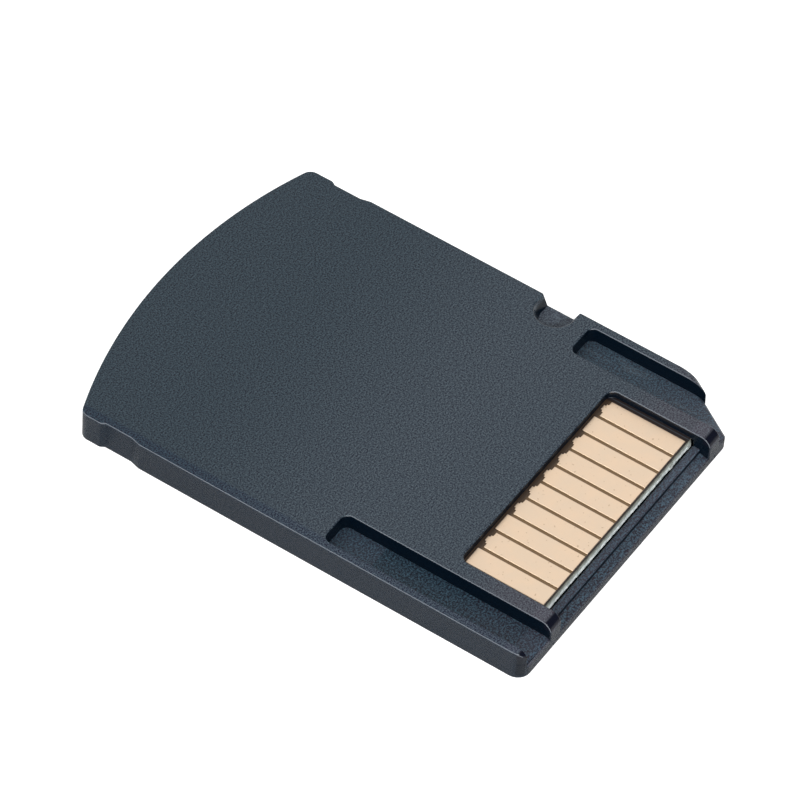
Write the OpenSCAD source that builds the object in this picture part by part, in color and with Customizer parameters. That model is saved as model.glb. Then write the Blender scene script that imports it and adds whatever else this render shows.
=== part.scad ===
// Thin plug-in adapter that carries a small memory card.
// X runs across the card, Y from the contact end to the arched end, Z up.
// The contact side faces up, and the card rests on its cover side at z = 0.

/* [Card] */
// Width of the card
card_w = 22; // [20:0.1:26]
// Length over the crown of the arched end
card_l = 30.5; // [30:0.1:36]
// Thickness of the card
card_t = 2; // [2:0.05:2.6]
// Radius of the arched end
arch_r = 30.2; // [24:0.1:60]
// How far the crown of the arch sits off the middle
arch_shift = 0.3; // [-1:0.1:1]
// Radius where the arched end meets the sides
arch_corner_r = 0.6; // [0.3:0.05:1]
// Radius of the square corner at the contact end
square_corner_r = 0.8; // [0.3:0.05:1.2]
// Width of the cut corner, across the card
cut_corner_w = 1.9; // [1:0.05:2.3]
// Length of the cut corner, along the card
cut_corner_l = 3; // [1:0.05:4]
// Radius at both ends of the cut corner
cut_corner_r = 0.5; // [0.2:0.05:0.8]
// Radius that rounds the upper edge of the contact end
nose_r = 0.7; // [0.2:0.05:0.8]

/* [Finger grips] */
// Depth of the shallow grip notch in each side
grip_depth = 0.16; // [0.1:0.02:0.5]
// Plain side left between the arched end and a grip notch
grip_start = 1.25; // [0.8:0.05:3]
// Length of the flat floor of a grip notch
grip_floor_l = 1.7; // [0.6:0.1:3]
// Length of the steep wall of a grip notch
grip_steep_l = 0.25; // [0.2:0.05:1]
// Length of the gentle wall of a grip notch
grip_gentle_l = 0.6; // [0.2:0.05:2]

/* [Latch pocket] */
// Distance from the contact end to the middle of the latch pocket
latch_y = 11.9; // [10.5:0.1:14]
// Width of the latch pocket at the upper face
latch_w = 2.4; // [1.6:0.1:3]
// Width of the latch pocket at its floor
latch_floor_w = 1.7; // [1:0.1:2.4]
// How far the latch pocket reaches in from the side
latch_reach = 1.9; // [1.6:0.1:2.2]
// Depth of the latch pocket
latch_depth = 0.75; // [0.3:0.05:1]

/* [Guide grooves] */
// Width of the lip outside each guide groove
lip_w = 0.5; // [0.4:0.05:0.8]
// Width of the rib between a guide groove and the contact window
window_rib_w = 1; // [0.6:0.05:1.4]
// Length of the guide groove on the square corner's side
long_groove_l = 13; // [9:0.1:15]
// Length of the guide groove on the cut corner's side
short_groove_l = 9.7; // [5:0.1:10]
// Radius of the corners at a groove's closed end
groove_corner_r = 0.45; // [0.2:0.05:0.8]
// Height of the groove floors and of the end sill
floor_z = 1; // [0.95:0.05:1.15]
// Radius that rounds the end of the groove floors
floor_edge_r = 0.4; // [0.2:0.05:0.5]

/* [End sill] */
// Length of the flat sill between the board and the end
sill_l = 0.46; // [0.3:0.02:0.6]
// Drop of the step at the outer edge of the sill
sill_step = 0.28; // [0.1:0.02:0.34]
// Plastic left over the cover at the foot of the sloped end
end_lip_h = 0.2; // [0.1:0.01:0.3]
// Distance from the end to the foot of the sill step
slope_l = 0.64; // [0.4:0.02:0.8]

/* [Contact window] */
// Bare board between an outer pad and the window's side
window_side_gap = 0.35; // [0.1:0.01:0.6]
// Bare board between the pads' inner ends and the window's edge
window_end_gap = 0.13; // [0.05:0.01:0.6]
// Radius of the window's corners
window_corner_r = 0.5; // [0.2:0.05:1]

/* [Contact pads] */
// Number of contact pads
pad_count = 10; // [6:1:10]
// Distance between neighbouring pads
pad_pitch = 1.42; // [1:0.01:1.5]
// Gap between neighbouring pads
pad_gap = 0.2; // [0.1:0.01:0.4]
// Length of a pad
pad_l = 4.92; // [3:0.02:6]
// Thickness of a pad
pad_t = 0.05; // [0.03:0.01:0.08]
// Distance from the board's visible edge to the pads
pad_margin = 0.09; // [0.05:0.01:0.3]
// Length of the narrow neck at a pad's inner end
pad_neck_l = 0.22; // [0.1:0.02:0.4]
// Width of that neck
pad_neck_w = 0.36; // [0.2:0.02:0.6]
// Width of the small step on each side of the neck
pad_step = 0.13; // [0.05:0.01:0.2]

/* [Circuit board] */
// How far the board reaches under the plastic beside the window
board_seat_w = 0.25; // [0.1:0.01:0.4]
// Thickness of the circuit board
board_t = 0.6; // [0.4:0.05:0.7]
// Radius of the board's corners
board_corner_r = 0.2; // [0.1:0.05:0.5]
// Gap between the board's edge and its pocket
board_gap = 0.17; // [0.08:0.01:0.2]
// Width of a stub left where the board was broken out of its panel
stub_w = 0.3; // [0.1:0.05:0.6]
// How far such a stub stands out from the board's edge
stub_reach = 0.08; // [0.02:0.01:0.08]
// Distance from the board's side to the first stub
stub_start = 0.4; // [0.2:0.05:1]
// Distance between the two stubs
stub_pitch = 1.8; // [0.8:0.1:4]
// Plastic left over the board, above its face
roof_t = 0.55; // [0.4:0.05:0.7]

/* [Front cover] */
// Width of the cover's edge outside the board's pocket
cover_seat_w = 0.21; // [0.1:0.01:0.4]
// Rim of the housing between the crown of the arch and the cover
cover_rim_l = 3.3; // [2.6:0.1:5]
// Thickness of the front cover
cover_t = 0.3; // [0.2:0.02:0.35]
// How far the cover sits in from the face it closes
cover_inset = 0.05; // [0.02:0.01:0.1]
// Gap around the cover's sides
cover_gap = 0.05; // [0.02:0.01:0.1]
// Radius of the cover's inner corners
cover_corner_r = 1; // [0.3:0.1:2]
// Width of a support rib under the board
rib_w = 0.7; // [0.4:0.1:1.2]
// Bare board between the ends of a support rib and the board's edge or the springs
rib_end_gap = 1.2; // [0.4:0.1:3]
// Distance from the board's side to a side rib's middle
rib_inset = 1.3; // [0.8:0.1:2]

/* [Memory card slot] */
// Width of the memory card
memory_w = 11; // [10.5:0.1:11.5]
// Width of the memory card at its leading end
memory_tip_w = 9.7; // [9:0.1:10]
// Length of the memory card's narrower leading end
memory_tip_l = 6.4; // [5:0.1:8]
// Length of the memory card
memory_l = 15; // [14:0.1:15.5]
// How far the memory card stays in from the crown when it is home
memory_inset = 0.42; // [0.1:0.02:1]
// Thickness of the memory card
memory_t = 0.7; // [0.6:0.05:0.8]
// Gap at each side of the memory card
memory_gap = 0.1; // [0.05:0.01:0.2]
// Depth of the relief for the ridge at the card's trailing end
ridge_relief = 0.3; // [0.1:0.05:0.4]
// Length of that relief
ridge_relief_l = 2; // [1:0.1:3]
// Radius of the thumb notch in the cover side
thumb_r = 5; // [3:0.1:5.4]
// How far the thumb notch reaches in from the crown
thumb_reach = 2; // [1:0.1:2.4]

/* [Contact springs] */
// Number of contact springs
spring_count = 8; // [6:1:8]
// Distance between neighbouring springs
spring_pitch = 1.1; // [1:0.05:1.15]
// Width of a spring
spring_w = 0.5; // [0.3:0.05:0.6]
// Thickness of a spring
spring_t = 0.12; // [0.08:0.01:0.15]
// Length of the spring soldered under the board
spring_tail_l = 1.4; // [0.8:0.1:2]
// Reach of a spring's free arm into the slot
spring_arm_l = 3; // [2.4:0.1:3.4]
// How far a spring's crest sits below the card's face
spring_preload = 0.05; // [0.02:0.01:0.1]
// Radius of a spring's bends
spring_bend_r = 0.35; // [0.2:0.05:0.4]
// Room in front of a spring's tip
spring_room = 0.2; // [0.1:0.05:0.6]
// Room over a spring's arm, for when the memory card lifts it
spring_lift = 0.12; // [0.1:0.01:0.2]
// How far the row of springs sits off the middle
spring_shift = -0.6; // [-0.7:0.05:0]

/* [Spring holder] */
// Length of the comb that holds the springs
holder_l = 1; // [0.6:0.1:1.4]
// Plastic at each end of the comb
holder_end_w = 0.8; // [0.5:0.1:1.2]
// Gap around a spring in its comb slot
comb_gap = 0.03; // [0.01:0.01:0.05]
// Gap around the comb in its seat
holder_gap = 0.05; // [0.02:0.01:0.1]

/* [Hidden] */
$fn = 64;
ARC_STEPS = 6;      // points along a rounded corner
ARCH_STEPS = 40;    // stretches along the arched end
CUT = 1;            // overshoot of a cutting shape
STEP_LEAN = 0.15;   // lean of the sill step, over its drop

half_w = card_w / 2;
end_y = -card_l / 2;            // the contact end
crown_y = card_l / 2;           // the crown of the arched end
arch_centre = [arch_shift, crown_y - arch_r];

pads_w = pad_count * pad_pitch - pad_gap;
window_w = pads_w + 2 * window_side_gap;
groove_out = half_w - lip_w;              // groove wall next to the lip
groove_in = window_w / 2 + window_rib_w;  // groove wall next to the rib
sill_in_y = end_y + slope_l + sill_l;     // edge of the sill next to the board
board_w = window_w + 2 * board_seat_w;
board_pocket_w = board_w + 2 * board_gap;
cover_w = board_pocket_w + 2 * cover_seat_w;
cover_l = card_l - cover_rim_l;
cover_z = cover_inset + cover_t;          // the cover's inner face
end_face_h = cover_z + end_lip_h;         // the foot of the sloped end
roof_z = card_t - roof_t;                 // underside of the roof, the board's face
board_z = roof_z - board_t;               // the board's solder side
board_y = sill_in_y + board_gap;          // the board's visible edge
pads_y = board_y + pad_margin;
window_l = pads_y + pad_l + window_end_gap - end_y;
stop_y = crown_y - memory_inset - memory_l; // the memory card stops here
holder_y = stop_y - holder_l;             // the comb's side next to the board
board_end_y = holder_y - board_gap;
board_l = board_end_y - board_y;
slot_z = cover_z + memory_t + memory_gap; // ceiling of the card slot
arm_z = slot_z + spring_t;                // middle of a spring's arm
relief_z = arm_z + spring_t / 2 + spring_lift; // ceiling over the springs
window_r = min(window_corner_r,           // clears the corners of the outer pads
               window_side_gap + window_end_gap + sqrt(2 * window_side_gap * window_end_gap));
springs_x = [for (k = [1 : spring_count])
             spring_shift + (k - (spring_count + 1) / 2) * spring_pitch];
springs_w = (spring_count - 1) * spring_pitch + spring_w;
holder_w = springs_w + 2 * holder_end_w;
pads_x = [for (k = [1 : pad_count]) ((pad_count + 1) / 2 - k) * pad_pitch];
WIDE_PADS = [2, 8, 10];  // these keep their full width up to the inner end

// Points of the arc that rounds the corner at b, between a and c.
function corner(a, b, c, r) =
    let (u = (a - b) / norm(a - b), v = (c - b) / norm(c - b),
         half = acos(max(-1, min(1, u * v))) / 2)
    r <= 0 || half > 89.9 ? [b] :
    let (mid = b + (u + v) / norm(u + v) * r / sin(half),
         p = b + u * r / tan(half), q = b + v * r / tan(half),
         from = atan2(p[1] - mid[1], p[0] - mid[0]),
         turn = atan2(q[1] - mid[1], q[0] - mid[0]) - from,
         sweep = turn > 180 ? turn - 360 : turn < -180 ? turn + 360 : turn)
    [for (i = [0 : ARC_STEPS])
        mid + r * [cos(from + sweep * i / ARC_STEPS), sin(from + sweep * i / ARC_STEPS)]];

// A closed outline from corners written as [x, y, radius].
function outline(c) =
    let (n = len(c), p = [for (v = c) [v[0], v[1]]])
    [for (i = [0 : n - 1]) each corner(p[(i + n - 1) % n], p[i], p[(i + 1) % n], c[i][2])];

// A rounded bar: both sides of an open path, a thickness t apart.
function ribbon(path, r, t) =
    let (last = len(path) - 1,
         p = [for (i = [0 : last])
              each i == 0 || i == last ? [path[i]] : corner(path[i - 1], path[i], path[i + 1], r)],
         n = len(p),
         side = [for (i = [0 : n - 1])
                 let (d = p[min(i + 1, n - 1)] - p[max(i - 1, 0)])
                 [-d[1], d[0]] / norm(d) * t / 2])
    concat([for (i = [0 : n - 1]) p[i] + side[i]],
           [for (i = [n - 1 : -1 : 0]) p[i] - side[i]]);

// Height along the card where the arched end crosses a line at x.
function arch_y(x) = arch_centre[1] + sqrt(arch_r * arch_r - pow(x - arch_centre[0], 2));

// The grip notch on one side, from the contact end towards the arch.
function grip(side) =
    let (y4 = min(arch_y(half_w), arch_y(-half_w)) - grip_start, y3 = y4 - grip_steep_l,
         y2 = y3 - grip_floor_l, y1 = y2 - grip_gentle_l,
         floor_x = half_w - grip_depth)
    [[side * half_w, y1, 0.6], [side * floor_x, y2, 0.4],
     [side * floor_x, y3, 0.2], [side * half_w, y4, 0.2]];

function reversed(list) = [for (i = [len(list) - 1 : -1 : 0]) list[i]];

// Plan of the whole card: square corner, cut corner, grips and arched end.
card_corners = concat(
    [[-half_w, end_y, square_corner_r],
     [half_w - cut_corner_w, end_y, cut_corner_r],
     [half_w, end_y + cut_corner_l, cut_corner_r]],
    grip(1),
    [[half_w, arch_y(half_w), arch_corner_r]],
    [for (i = [0 : ARCH_STEPS])
        let (x = (half_w - arch_corner_r) * (1 - 2 * i / ARCH_STEPS)) [x, arch_y(x), 0]],
    [[-half_w, arch_y(-half_w), arch_corner_r]],
    reversed(grip(-1)));

module slab(corners, low, high) {
    translate([0, 0, low]) linear_extrude(high - low) polygon(outline(corners));
}

// A box between two corners, with the upright edges at its far end rounded.
module bay(low_x, high_x, low_y, high_y, low, high, r = 0) {
    slab([[low_x, low_y, 0], [high_x, low_y, 0], [high_x, high_y, r], [low_x, high_y, r]], low, high);
}

// Rounds an upper edge at a height top, along a line y = 0 in the direction of X.
module edge_cut(length, top, r) {
    difference() {
        translate([-length / 2, -CUT, top - r]) cube([length, CUT + r, r + CUT]);
        translate([-length / 2 - CUT, r, top - r]) rotate([0, 90, 0])
            cylinder(r = r, h = length + 2 * CUT);
    }
}

// Rounds the upper edges at a height top, along the contact end and the cut corner.
module end_cut(top, r) {
    edge_l = norm([cut_corner_w, cut_corner_l]);
    translate([0, end_y, 0]) edge_cut(card_w + 2 * CUT, top, r);
    translate([half_w - cut_corner_w, end_y, 0]) rotate([0, 0, atan2(cut_corner_l, cut_corner_w)])
        translate([edge_l / 2, 0, 0]) edge_cut(edge_l + 4 * CUT, top, r);
}

// Cuts the step and the slope in front of the sill, across the contact window.
module slope_cut() {
    foot = floor_z - sill_step;
    translate([-window_w / 2, end_y, 0]) rotate([90, 0, 90]) linear_extrude(window_w)
        polygon([[slope_l, floor_z + CUT], [slope_l, floor_z], [slope_l - sill_step * STEP_LEAN, foot],
                 [0, end_face_h], [-CUT, end_face_h], [-CUT, floor_z + CUT]]);
}

// The two guide grooves, open from a height low upwards.
module grooves(low) {
    bay(-groove_out, -groove_in, end_y - CUT, end_y + long_groove_l, low, card_t + CUT,
        groove_corner_r);
    bay(groove_in, groove_out, end_y - CUT, end_y + short_groove_l, low, card_t + CUT,
        groove_corner_r);
}

module latch_pocket() {
    y = end_y + latch_y;
    x = half_w - latch_reach + latch_w / 2;
    low = card_t - latch_depth;
    translate([x, y, low]) {
        cylinder(r1 = latch_floor_w / 2, r2 = latch_w / 2, h = latch_depth);
        translate([0, 0, latch_depth]) cylinder(r = latch_w / 2, h = CUT);
    }
    translate([x, y, low]) rotate([90, 0, 90]) linear_extrude(latch_reach + CUT)
        polygon([[-latch_floor_w / 2, 0], [latch_floor_w / 2, 0], [latch_w / 2, latch_depth],
                 [latch_w / 2, latch_depth + CUT], [-latch_w / 2, latch_depth + CUT],
                 [-latch_w / 2, latch_depth]]);
}

// Everything that is open from the contact side.
module face_cuts() {
    bay(-window_w / 2, window_w / 2, end_y - CUT, end_y + window_l, floor_z, card_t + CUT,
        window_r);
    grooves(floor_z);
    intersection() {
        grooves(0);
        end_cut(floor_z, floor_edge_r);
    }
    slope_cut();
    end_cut(card_t, nose_r);
    latch_pocket();
}

// Outline of the card slot, with the step that lets the card in one way only.
function slot_corners(gap) =
    let (w = memory_w / 2 + gap, tip = w - (memory_w - memory_tip_w), y = stop_y)
    [[-w, y, 0], [tip, y, 0], [tip, y + memory_tip_l, 0.2],
     [w, y + memory_tip_l + (w - tip), 0.2], [w, crown_y + CUT, 0], [-w, crown_y + CUT, 0]];

// Everything that is open from the cover side and from the arched end.
module inner_cuts() {
    recess_w = cover_w + 2 * cover_gap;
    bay(-recess_w / 2, recess_w / 2, end_y - CUT, end_y + cover_l + cover_gap, -CUT, cover_z,
        cover_corner_r);
    slab([[-board_pocket_w / 2, sill_in_y, 0], [board_pocket_w / 2, sill_in_y, 0],
          [board_pocket_w / 2, holder_y, 0], [-board_pocket_w / 2, holder_y, 0]],
         cover_z - CUT / 4, roof_z);
    seat_w = holder_w + 2 * holder_gap;
    bay(spring_shift - seat_w / 2, spring_shift + seat_w / 2, holder_y - CUT / 4,
        stop_y + spring_arm_l + spring_room, cover_z - CUT / 4, relief_z);
    slab(slot_corners(memory_gap), cover_z - CUT / 4, slot_z);
    ridge_w = memory_w + 2 * memory_gap;
    bay(-ridge_w / 2, ridge_w / 2, stop_y + memory_l - ridge_relief_l, crown_y + CUT,
        cover_z, slot_z + ridge_relief);
    translate([0, crown_y - thumb_reach + thumb_r, -CUT]) cylinder(r = thumb_r, h = CUT + cover_z);
}

module housing() {
    color("#414b55") difference() {
        slab(card_corners, 0, card_t);
        face_cuts();
        inner_cuts();
    }
}

module front_cover() {
    rib_l = board_l - spring_tail_l - 2 * rib_end_gap;
    color("#3a434c") union() {
        translate([0, 0, cover_inset])
            bay(-cover_w / 2, cover_w / 2, end_y, end_y + cover_l, 0, cover_t, cover_corner_r);
        for (x = [-1, 0, 1] * (board_w / 2 - rib_inset))
            translate([x - rib_w / 2, board_y + rib_end_gap, cover_z])
                cube([rib_w, rib_l, board_z - cover_z]);
    }
}

module circuit_board() {
    half = board_w / 2;
    color("#5d5a3c") union() {
        slab([for (c = [[-half, board_y], [half, board_y], [half, board_end_y], [-half, board_end_y]])
              [c[0], c[1], board_corner_r]], board_z, roof_z);
        for (k = [0, 1])
            translate([half - stub_start - k * stub_pitch - stub_w / 2, board_y - stub_reach, board_z])
                cube([stub_w, stub_reach + board_gap, board_t / 2]);
    }
}

// Outline of a pad. Most have a stepped neck where their track runs on under the plastic.
function pad_outline(w, length, wide) =
    let (shoulder = length - pad_neck_l, mid = length - pad_neck_l / 2,
         side = wide ? [[w / 2, length]] :
                [[w / 2, shoulder], [pad_neck_w / 2 + pad_step, shoulder],
                 [pad_neck_w / 2 + pad_step, mid], [pad_neck_w / 2, mid],
                 [pad_neck_w / 2, length]])
    concat([[-w / 2, 0], [w / 2, 0]], side, [for (p = reversed(side)) [-p[0], p[1]]]);

module contact_pad(k) {
    wide = len(search(k, WIDE_PADS)) > 0;
    color("#e8cfa8") translate([pads_x[k - 1], pads_y, roof_z])
        linear_extrude(pad_t) polygon(pad_outline(pad_pitch - pad_gap, pad_l, wide));
}

module spring_holder() {
    slot_w = spring_w + 2 * comb_gap;
    slot_floor_z = min(board_z - spring_t, arm_z - spring_t / 2);
    color("#26282b") difference() {
        translate([spring_shift - holder_w / 2, holder_y, cover_z])
            cube([holder_w, holder_l, relief_z - cover_z]);
        for (x = springs_x)
            translate([x - slot_w / 2, holder_y - CUT, slot_floor_z])
                cube([slot_w, holder_l + 2 * CUT, relief_z]);
    }
}

// A spring's path in Y and Z: soldered tail, rise inside the comb, long arm, crest and upturned tip.
function spring_path() =
    let (tail_z = board_z - spring_t / 2,
         crest_z = cover_z + memory_t - spring_preload + spring_t / 2,
         crest_y = stop_y + spring_arm_l * 0.75)
    [[board_end_y - spring_tail_l, tail_z], [holder_y + holder_l * 0.1, tail_z],
     [holder_y + holder_l * 0.6, arm_z], [stop_y + spring_arm_l * 0.25, arm_z],
     [crest_y, crest_z], [stop_y + spring_arm_l, arm_z]];

module contact_spring(k) {
    color("#c9a24f") translate([springs_x[k - 1] - spring_w / 2, 0, 0])
        rotate([90, 0, 90]) linear_extrude(spring_w) polygon(ribbon(spring_path(), spring_bend_r, spring_t));
}

housing();
front_cover();
circuit_board();
spring_holder();
for (k = [1 : pad_count])
    contact_pad(k);
for (k = [1 : spring_count])
    contact_spring(k);
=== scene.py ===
import math
import random

import bmesh
import bpy
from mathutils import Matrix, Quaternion, Vector


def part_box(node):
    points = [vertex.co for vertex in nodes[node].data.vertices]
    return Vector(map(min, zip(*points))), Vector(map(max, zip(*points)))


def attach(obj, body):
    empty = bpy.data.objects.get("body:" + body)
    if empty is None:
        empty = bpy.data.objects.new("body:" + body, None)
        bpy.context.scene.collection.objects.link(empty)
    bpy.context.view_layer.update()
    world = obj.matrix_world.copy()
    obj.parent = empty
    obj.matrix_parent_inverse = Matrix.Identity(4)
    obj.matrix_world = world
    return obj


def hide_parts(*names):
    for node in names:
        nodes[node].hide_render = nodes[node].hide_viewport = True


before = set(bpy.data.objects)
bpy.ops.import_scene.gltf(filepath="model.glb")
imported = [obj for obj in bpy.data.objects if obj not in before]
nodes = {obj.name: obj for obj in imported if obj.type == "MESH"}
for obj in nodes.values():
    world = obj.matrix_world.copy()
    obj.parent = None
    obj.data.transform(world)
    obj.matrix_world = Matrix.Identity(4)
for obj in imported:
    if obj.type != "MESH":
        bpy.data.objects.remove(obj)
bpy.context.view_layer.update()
MM = 0.001

# Camera: a long lens that looks down on the contact side from over the square corner, rolled
# a few degrees, as the photograph was taken.
azimuth, elevation, roll = math.radians(-59.56), math.radians(48.97), math.radians(4.64)
aim, distance = Vector((0.65, 0.29, 1.0)) * MM, 320 * MM
back = Vector((math.sin(azimuth) * math.cos(elevation), -math.cos(azimuth) * math.cos(elevation),
               math.sin(elevation)))
camera = bpy.data.objects.new("camera", bpy.data.cameras.new("camera"))
bpy.context.scene.collection.objects.link(camera)
camera.data.sensor_width = 36
camera.data.lens = 267.33
camera.data.clip_start, camera.data.clip_end = 10 * MM, 5
camera.rotation_mode = "QUATERNION"
camera.rotation_quaternion = (-back).to_track_quat("-Z", "Y") @ Quaternion((0, 0, 1), roll)
camera.location = aim + back * distance
bpy.context.scene.camera = camera

# Housing and front cover: two thin shells of black ABS blend, injection moulded in a tool with
# a fine spark-eroded face, and welded together round their rims. The tool leaves small radii
# on the edges, and a coarser, deeper grain on the floors of the grooves and of the end sill.


class Wire:
    """An output in a node tree. Ordinary sums on it add the nodes that work them out."""

    def __init__(self, tree, socket=None):
        self.tree, self.socket = tree, socket

    def join(self, socket, value):
        if isinstance(value, Wire):
            self.tree.links.new(value.socket, socket)
        else:
            socket.default_value = value

    def feed(self, name, **inputs):
        """Fills or links sockets of a node that is in the tree already."""
        for socket, value in inputs.items():
            self.join(self.tree.nodes[name].inputs[socket.replace("_", " ")], value)

    def node(self, kind, settings=None, inputs=None, output=0):
        """Adds a node: first its settings, then the values or the links of its sockets."""
        made = self.tree.nodes.new(kind)
        for name, value in (settings or {}).items():
            if name == "stops":
                places = made.color_ramp.elements
                while len(places) < len(value):
                    places.new(0.5)
                for place, (at, colour) in zip(places, value):
                    place.position, place.color = at, (*colour, 1)
            else:
                setattr(made, name, value)
        for name, value in (inputs or {}).items():
            self.join(made.inputs[name], value)
        return Wire(self.tree, made.outputs[output])

    def _sum(self, operation, *terms):
        wide = any(isinstance(t, tuple) or isinstance(t, Wire) and t.socket.type != "VALUE"
                   for t in terms)
        if wide:
            terms = [(t, t, t) if isinstance(t, (int, float)) else t for t in terms]
        return self.node("ShaderNodeVectorMath" if wide else "ShaderNodeMath",
                         {"operation": operation}, dict(enumerate(terms)))

    def __add__(self, other): return self._sum("ADD", self, other)
    def __radd__(self, other): return self._sum("ADD", other, self)
    def __sub__(self, other): return self._sum("SUBTRACT", self, other)
    def __rsub__(self, other): return self._sum("SUBTRACT", other, self)
    def __mul__(self, other): return self._sum("MULTIPLY", self, other)
    def __rmul__(self, other): return self._sum("MULTIPLY", other, self)

    def rise(self, low, high):
        """0 below low and 1 above high, with a soft rise between. Falls where low is above high."""
        return self.node("ShaderNodeMapRange", {"interpolation_type": "SMOOTHSTEP"},
                         {"Value": self, "From Min": low, "From Max": high})

    def mix(self, colour, other):
        """The first colour where this is 0, and the other where it is 1."""
        return self.node("ShaderNodeMix", {"data_type": "RGBA"},
                         {0: self, 6: colour if isinstance(colour, Wire) else (*colour, 1),
                          7: other if isinstance(other, Wire) else (*other, 1)}, output=2)


def material(name):
    """A new material, and a wire in its tree that its nodes are added by."""
    made = bpy.data.materials.new(name)
    made.use_nodes = True
    return made, Wire(made.node_tree)


def axes(wire, vector):
    """The x, y and z of a place or a direction, as three wires."""
    return [wire.node("ShaderNodeSeparateXYZ", {}, {"Vector": vector}, output=k) for k in range(3)]


def noise(wire, place, scale, detail=2, rough=0.5):
    """Grain with one spot to each 1/scale of a metre."""
    return wire.node("ShaderNodeTexNoise", {}, {"Vector": place, "Scale": scale,
                                                "Detail": detail, "Roughness": rough})


def shaped(name, form):
    """A new object in the scene from a finished form."""
    mesh = bpy.data.meshes.new(name)
    form.to_mesh(mesh)
    form.free()
    piece = bpy.data.objects.new(name, mesh)
    bpy.context.scene.collection.objects.link(piece)
    return piece


def eased(name, edge, seam_edge=None, seam=None):
    """A copy of a CAD solid with a small radius on its outer edges, finer along a seam's box."""
    form = bmesh.new()
    form.from_mesh(nodes[name].data)
    bmesh.ops.remove_doubles(form, verts=form.verts, dist=0.0002 * MM)
    bmesh.ops.dissolve_limit(form, angle_limit=math.radians(0.3), verts=form.verts,
                             edges=form.edges)
    soft_bend, sharp_bend, near_seam = 20, 30, 0.06 * MM
    weight = form.edges.layers.float.new("bevel_weight_edge")
    for line in form.edges:
        bend = math.degrees(line.calc_face_angle_signed())
        line.smooth = abs(bend) < soft_bend
        if bend > sharp_bend:
            at_seam = seam and all(low - near_seam < c < high + near_seam
                                   for vert in line.verts
                                   for c, low, high in zip(vert.co, *seam))
            line[weight] = seam_edge / edge if at_seam else 1.0
    piece = shaped(name + "_skin", form)
    piece.data.polygons.foreach_set("use_smooth", [True] * len(piece.data.polygons))
    rounding = piece.modifiers.new("rounding", "BEVEL")
    rounding.width, rounding.segments = edge, 3
    rounding.limit_method = "WEIGHT"
    rounding.use_clamp_overlap = False
    rounding.miter_outer = "MITER_ARC"
    rounding.harden_normals = True
    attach(piece, "root")
    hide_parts(name)
    return piece


black, wire = material("black_plastic")
place = wire.node("ShaderNodeTexCoord", output=3)
across, along, height = axes(wire, place)
lean, slant, level = axes(wire, wire.node("ShaderNodeNewGeometry", output="True Normal"))
off_middle, flatness = (wire.node("ShaderNodeMath", {"operation": "ABSOLUTE"}, {0: value})
                        for value in (across, level))
upright = 1 - flatness

# The parts of the shell's surface, told apart by where they are and how they face.
side, contact_end, top, groove_floor = 11 * MM, -15.25 * MM, 2 * MM, 1 * MM
inside = (off_middle.rise(side - 0.04 * MM, side - 0.1 * MM) * along.rise(0, -1 * MM)
          * along.rise(contact_end + 0.05 * MM, contact_end + 0.15 * MM)
          * height.rise(0.2 * MM, 0.3 * MM))
wall = upright.rise(0.6, 0.9)
inner_wall = wall * inside
low_floor = height.rise(groove_floor + 0.15 * MM, groove_floor + 0.05 * MM) * inside
rounding = upright.rise(0.02, 0.03) * upright.rise(0.85, 0.8)
lip = across.rise(-side + 0.7 * MM, -side + 0.5 * MM)
nose = (along.rise(contact_end + 0.57 * MM, contact_end + 0.39 * MM)
        * height.rise(top - 0.55 * MM, top - 0.4 * MM))
sill = (along.rise(contact_end + 1.45 * MM, contact_end + 1.15 * MM)
        * height.rise(groove_floor - 0.25 * MM, groove_floor - 0.1 * MM))
behind_grooves = along.rise(-5 * MM, -4.9 * MM)
# Painted light: the pocket's floor is made lighter against the shade of its walls.
pocket_floor = behind_grooves * height.rise(top - 0.4 * MM, top - 0.5 * MM) * inside
pocket_end = (behind_grooves * along.rise(-1 * MM, -1.5 * MM) * across.rise(9 * MM, 9.1 * MM)
              * height.rise(top - 0.15 * MM, top - 0.4 * MM)
              * slant.rise(-0.2, -0.5) * upright.rise(0.3, 0.5))
# Lighter, with a wider grain, towards the contact end.
toward_contact_end = along.rise(9 * MM, -4 * MM)
# A redder tone on the tops near the contact end, less on the floors and the lip.
redder_at_contact_end = along.rise(-9 * MM, -13 * MM) * (1 - low_floor * 0.5) * (1 - lip * 0.8)

# The eroded grain: a mean tone from place to place, and how far the grain goes to each side of
# it. Flow lines from the moulding show on the floor of the short groove.
fine, coarse = noise(wire, place, 11000, 3, 0.8), noise(wire, place, 9000, 3, 0.8)
grain = fine + (coarse - fine) * (low_floor * 0.7)
grain_mean = 0.51
deep = (grain - grain_mean) * (1 + low_floor * 1.1) + grain_mean
flow = (noise(wire, place * (1, 0.12, 1), 4500, 1, 0.5).rise(0.55, 0.7)
        * low_floor * across.rise(8 * MM, 9 * MM))
tone = (low_floor.mix((0.018, 0.031, 0.043), (0.005, 0.024, 0.040))
        + toward_contact_end * (0.014, 0.014, 0.016) + redder_at_contact_end * (0.014, 0.006, 0.006)
        + sill * (0.010, 0.008, 0.010) + pocket_floor * (0.012, 0.012, 0.016)
        # Painted light: the groove floors are lighter towards the far side, and the near one is
        # left darker as in shade.
        + low_floor * across.rise(0, 9 * MM) * (0.017, 0.019, 0.023)
        + flow * (0.015, 0.016, 0.016))
spread = (low_floor.mix((0.035, 0.052, 0.060), (0.013, 0.048, 0.072))
          + toward_contact_end * (0.020, 0.022, 0.022))
eroded = tone + (deep.rise(0.40, 0.62) - 0.5) * spread
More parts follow.
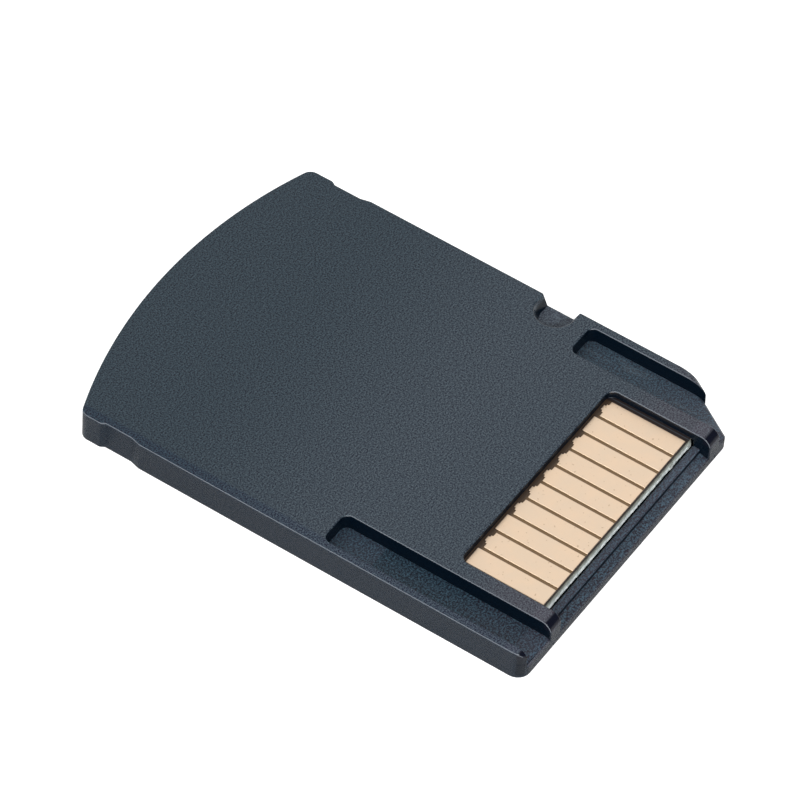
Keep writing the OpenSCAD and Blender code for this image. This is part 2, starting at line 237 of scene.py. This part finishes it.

# The walls have less of it and are darker. The walls in the grooves and at the pocket's end are
# painted near black as painted shade, and the ribs' noses as a painted dark reflection. The edges
# towards the long lip carry a painted pale highlight line.
skin = (wall * 0.85).mix(eroded - lip * (0.009, 0.009, 0.005), (0.000, 0.006, 0.015))
# Painted shade: the walls inside the grooves and at the pocket's end near black.
skin = (inner_wall + pocket_end).rise(0, 1).mix(skin, (0.000, 0.003, 0.008))
# Painted dark reflection: the ribs' rounded noses near black.
skin = nose.mix(skin, (0.003, 0.004, 0.010))
# Painted highlight: a pale line on the rounded edges that face the long lip.
painted_edge_highlight = rounding * lean.rise(-0.5, -0.65) * lean.rise(-0.92, -0.82)
bump = wire.node("ShaderNodeBump", {}, {
    "Strength": 1.0, "Distance": 0.018 * MM,
    "Height": grain * (1 - rounding * 0.85) * (1 + low_floor * 1.5 + (wall - inner_wall) * 4)})
wire.feed("Principled BSDF", Base_Color=painted_edge_highlight.mix(skin, (0.12, 0.135, 0.155)),
          Roughness=low_floor * 0.1 + 0.27 - rounding * 0.07, Specular_IOR_Level=0.22,
          Normal=bump)
for name, edge, seam_edge in (("front_cover", 0.03 * MM, 0.03 * MM),
                              ("housing", 0.08 * MM, 0.02 * MM)):
    shell = eased(name, edge, seam_edge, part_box("front_cover"))
    shell.data.materials.append(black)

# Circuit board: a blank of woven glass laminate, routed and broken out of a panel. Its face is
# under a brown solder mask. Its cut edge shows the bare glass. Its colour runs from near white at
# the bottom to dark at the top, partly painted light, with a line of painted shade under the pads'
# ends. The router leaves a frayed line of glass ends that stands out from it.
laminate, wire = material("board_laminate")
place = wire.node("ShaderNodeTexCoord", output=3)
across, along, height = axes(wire, place)
board_low, board_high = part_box("circuit_board")
layer = wire.node("ShaderNodeMapRange", {},
                  {"Value": height, "From Min": board_low[2], "From Max": board_high[2]})
# Cut edge colour by height: partly painted light near white at the bottom, and painted shade at the
# top.
cut = wire.node("ShaderNodeValToRGB",
                {"stops": [(0.0, (0.88, 0.93, 0.92)), (0.30, (0.66, 0.71, 0.69)),
                           (0.70, (0.31, 0.33, 0.29)), (0.96, (0.10, 0.10, 0.07))]},
                {"Fac": layer})
fray = noise(wire, place, 2500, 3, 0.6).rise(0.35, 0.7)
mask = height.rise(board_high[2] - 0.02 * MM, board_high[2] - 0.01 * MM)
pads_low, pads_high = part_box("contact_pad_2")
pads_side, highlight_line_side = 7.0 * MM, 7.2 * MM
shaded = (along.rise(pads_low[1] + 0.02 * MM, pads_low[1])
          + along.rise(pads_high[1] - 0.5 * MM, pads_high[1]) * 0.7
          + across.rise(pads_side, pads_side + 0.04 * MM)).rise(0, 1)
# Painted highlight: a thin pale line by the window's far wall, standing in for the lit edge of a
# ledge that is not modelled.
painted_ledge_highlight = (across.rise(highlight_line_side, highlight_line_side + 0.02 * MM)
         * across.rise(highlight_line_side + 0.07 * MM, highlight_line_side + 0.05 * MM))
brown = painted_ledge_highlight.mix(shaded.mix((0.13, 0.075, 0.03), (0.012, 0.006, 0.005)), (0.04, 0.05, 0.06))
wire.feed("Principled BSDF", Base_Color=mask.mix(cut * (fray * 0.5 + 0.62), brown), Roughness=0.5)
nodes["circuit_board"].material_slots[0].material = laminate

fringe_form = bmesh.new()
dice = random.Random(4)
board_end, fringe_side, steps = -13.98, 7.3, 300
reach, crest = 0.03, 0.95
rows = []
for k in range(steps + 1):
    x = -fringe_side + 2 * fringe_side * k / steps
    reach += 0.45 * (dice.uniform(0.0, 0.06) - reach)
    crest += 0.45 * (dice.uniform(0.90, 1.02) - crest)
    rows.append([fringe_form.verts.new((x * MM, (board_end - stand_out) * MM, z * MM))
                 for stand_out, z in ((0, 0.81), (reach * 0.8 + 0.02, 0.86),
                                      (reach * 0.9, crest - 0.05), (reach * 0.6, crest),
                                      (0, crest + 0.02))])
for before, after in zip(rows, rows[1:]):
    for k in range(len(before) - 1):
        fringe_form.faces.new((before[k], before[k + 1], after[k + 1], after[k]))
bmesh.ops.recalc_face_normals(fringe_form, faces=fringe_form.faces)
fringe = shaped("frayed_edge", fringe_form)
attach(fringe, "root")
glass, wire = material("glass_fibre")
place = wire.node("ShaderNodeTexCoord", output=3)
wire.feed("Principled BSDF", Base_Color=noise(wire, place, 3000, 3, 0.6).rise(0.3, 0.7).mix(
    (0.44, 0.50, 0.49), (0.84, 0.88, 0.88)), Roughness=0.5)
fringe.data.materials.append(glass)

# Contact pads: copper etched on the board, plated with nickel and a pale hard gold. The plating
# rounds their edges, and is a little cloudy, with a few darker specks.
gold, wire = material("pale_gold")
place = wire.node("ShaderNodeTexCoord", output=3)
cloud = noise(wire, place, 900, 3, 0.6).rise(0.3, 0.7)
speck = noise(wire, place, 5200, 1, 0.5).rise(0.70, 0.76)
wire.feed("Principled BSDF",
          Base_Color=speck.mix(cloud.mix((0.785, 0.60, 0.435), (0.75, 0.59, 0.44)),
                               (0.60, 0.44, 0.30)),
          Metallic=1.0, Roughness=0.35)
for k in range(1, 11):
    pad = eased(f"contact_pad_{k}", 0.03 * MM)
    pad.data.materials.append(gold)

# Comb and contact springs: a moulded black comb behind the board, with one stamped strip of
# copper alloy in each slot, bent to its crest and gold plated.
strip, wire = material("spring_gold")
place = wire.node("ShaderNodeTexCoord", output=3)
wire.feed("Principled BSDF",
          Base_Color=noise(wire, place, 1500).rise(0.3, 0.7).mix((0.66, 0.42, 0.15),
                                                                (0.72, 0.49, 0.20)),
          Metallic=1.0, Roughness=0.3)
for k in range(1, 9):
    nodes[f"contact_spring_{k}"].material_slots[0].material = strip
comb, wire = material("comb_plastic")
place = wire.node("ShaderNodeTexCoord", output=3)
wire.feed("Principled BSDF",
          Base_Color=noise(wire, place, 4000).rise(0.3, 0.7).mix((0.016, 0.016, 0.018),
                                                                (0.024, 0.024, 0.026)),
          Roughness=0.5)
nodes["spring_holder"].material_slots[0].material = comb

# Table: a plain white sheet under the card. The camera sees it whiter than it is lit, as on an
# exposure for a white ground, and mirrored rays see a tenth of that. Its shadow stays.
sheet_form = bmesh.new()
bmesh.ops.create_grid(sheet_form, x_segments=1, y_segments=1, size=0.6)
table = shaped("table", sheet_form)
table.location.z = -0.002 * MM
white, wire = material("white_table")
wire.feed("Principled BSDF", Base_Color=(0.74, 0.74, 0.74, 1), Roughness=0.9)
lit = Wire(wire.tree, wire.tree.nodes["Principled BSDF"].outputs[0])
mirrored = (wire.node("ShaderNodeLightPath", output="Is Glossy Ray")
            + wire.node("ShaderNodeLightPath", output="Is Transmission Ray"))
seen = wire.node("ShaderNodeLightPath", output="Is Camera Ray") + mirrored * 0.1
glow = wire.node("ShaderNodeEmission", {}, {"Color": (1, 1, 1, 1), "Strength": 0.6})
whiter = wire.node("ShaderNodeAddShader", {}, {0: lit, 1: glow})
wire.feed("Material Output", Surface=wire.node("ShaderNodeMixShader", {},
                                               {0: seen, 1: lit, 2: whiter}))
table.data.materials.append(white)

# Light: a large soft round source high behind the cut corner's side, a strip light beside the
# long lip, which lights the edges that face it, and one small lamp over the contact end. A faint
# fill comes from all round, and a pale floor's light from below the horizon.
world = bpy.data.worlds.new("studio")
bpy.context.scene.world = world
world.use_nodes = True
wire = Wire(world.node_tree)
toward = wire.node("ShaderNodeTexCoord", output=0)


def patch(direction, radius, soft):
    """1 in a round part of the sky, with a soft rim, both in degrees."""
    facing = wire.node("ShaderNodeVectorMath", {"operation": "DOT_PRODUCT"},
                       {0: toward, 1: Vector(direction).normalized()}, output="Value")
    return facing.rise(math.cos(math.radians(radius + soft)),
                       math.cos(math.radians(radius - soft)))


east, north, up = axes(wire, toward)
strip_light = (east.rise(-0.25, -0.4) * north.rise(-0.6, -0.5) * north.rise(0.55, 0.45)
               * up.rise(0.2, 0.3) * up.rise(0.75, 0.6))
sky = patch((0.35, 0.60, 0.72), 57, 7) * 0.95 + strip_light * 4.0 + 0.15
ground = patch((0, 0, -1), 89, 1) * 0.8
wire.feed("Background", Color=(1, 1, 1, 1), Strength=sky + ground)

lamp = bpy.data.lights.new("key_lamp", "AREA")
lamp.shape, lamp.size = "DISK", 0.11
lamp.energy = 1.6
key_lamp = bpy.data.objects.new("key_lamp", lamp)
bpy.context.scene.collection.objects.link(key_lamp)
lamp_direction = Vector((-0.39, -0.70, 0.60)).normalized()
key_lamp.location = lamp_direction * 0.5
key_lamp.rotation_mode = "QUATERNION"
key_lamp.rotation_quaternion = (-lamp_direction).to_track_quat("-Z", "Y")

bpy.context.scene.view_settings.view_transform = "Standard"
bpy.context.view_layer.update()
